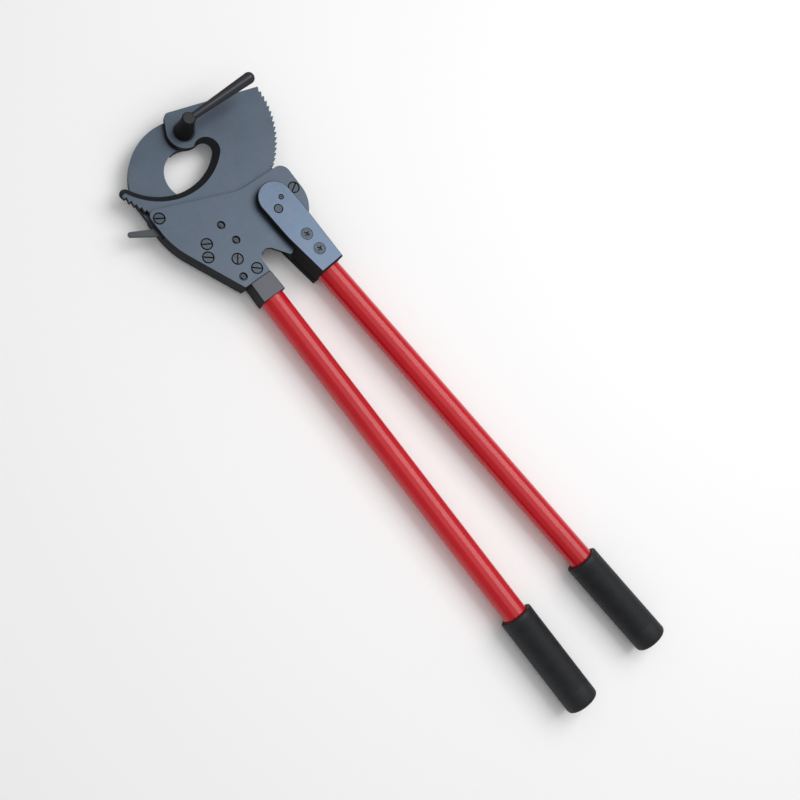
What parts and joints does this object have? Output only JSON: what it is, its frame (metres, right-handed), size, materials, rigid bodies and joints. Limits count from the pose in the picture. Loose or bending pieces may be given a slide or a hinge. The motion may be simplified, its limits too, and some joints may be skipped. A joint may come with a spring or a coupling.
{
  "type": "ratchet cable cutter",
  "caption": "Two-handed ratchet cable cutter: hook blade, toothed swinging blade, clamp lever at its pivot and long red tube handles with black ribbed grips.",
  "frame": {"origin": "bottom centre of the whole tool's bounding box, lying on its back", "axes": "+X along the fixed handle towards its grip, +Y from the fixed handle to the moving handle, +Z out of the front face"},
  "size_m": [0.7822, 0.2194, 0.0757],
  "materials": {
    "blued_steel": "satin blue-grey oxide",
    "blade_steel": "satin blue-grey oxide, darker ground bevels",
    "strap_steel": "satin light blue-grey oxide",
    "socket_steel": "satin grey oxide",
    "arm_steel": "satin dark grey oxide",
    "lever_steel": "satin grey oxide",
    "screw_steel": "blued steel",
    "bright_steel": "bare ground steel",
    "black_oxide": "black oxide",
    "red_enamel": "gloss red enamel",
    "grip_rubber": "matt black, ribbed"
  },
  "bodies": {
    "frame": {"front_frame_plate": "blued_steel", "back_frame_plate": "blued_steel", "hook_blade": "blade_steel", "body_spacer": "blued_steel", "ear_spacer": "blued_steel", "guide_sleeve": "black_oxide", "frame_screws": "screw_steel", "holding_pawl_pin": "screw_steel", "spring_pin": "screw_steel", "socket_pin": "screw_steel", "holding_pawl_spring": "bright_steel", "handle_pivot_bush": "bright_steel", "fixed_socket": "socket_steel", "fixed_handle_tube": "red_enamel", "fixed_handle_grip": "grip_rubber", "pivot_bolt": "black_oxide", "pivot_bolt_washer": "black_oxide"},
    "moving_blade": {"moving_blade": "blade_steel"},
    "moving_handle": {"front_strap": "strap_steel", "back_strap": "strap_steel", "moving_socket": "black_oxide", "strap_screws": "screw_steel", "handle_pivot_pin": "screw_steel", "drive_pawl_pin": "screw_steel", "handle_washers": "bright_steel", "moving_handle_tube": "red_enamel", "moving_handle_grip": "grip_rubber"},
    "drive_pawl": {"drive_pawl": "black_oxide"},
    "holding_pawl": {"holding_pawl": "lever_steel"},
    "clamp_lever": {"clamp_hub": "black_oxide", "clamp_arm": "arm_steel", "clamp_washer": "black_oxide"}
  },
  "joints": [
    {"name": "blade_pivot", "type": "hinge", "parent": "frame", "child": "moving_blade", "pos_m": [-0.36486, 0.00855, 0.022], "axis": [0, 0, 1], "range_deg": [-98, 178.5]},
    {"name": "handle_pivot", "type": "hinge", "parent": "frame", "child": "moving_handle", "pos_m": [-0.24767, 0.04606, 0.022], "axis": [0, 0, 1], "range_deg": [0, 40]},
    {"name": "drive_pawl_pivot", "type": "hinge", "parent": "moving_handle", "child": "drive_pawl", "pos_m": [-0.23888, 0.03526, 0.022], "axis": [0, 0, 1], "range_deg": [-44, 0]},
    {"name": "release_lever", "type": "hinge", "parent": "frame", "child": "holding_pawl", "pos_m": [-0.25976, -0.02425, 0.022], "axis": [0, 0, 1], "range_deg": [-3.2, 0.8]},
    {"name": "clamp_lever", "type": "hinge", "parent": "frame", "child": "clamp_lever", "pos_m": [-0.36486, 0.00855, 0.022], "axis": [0, 0, 1], "continuous": true}
  ],
  "couplings": [
    {"joint": "drive_pawl_pivot", "follows": "handle_pivot", "ratio": -1.1}
  ]
}
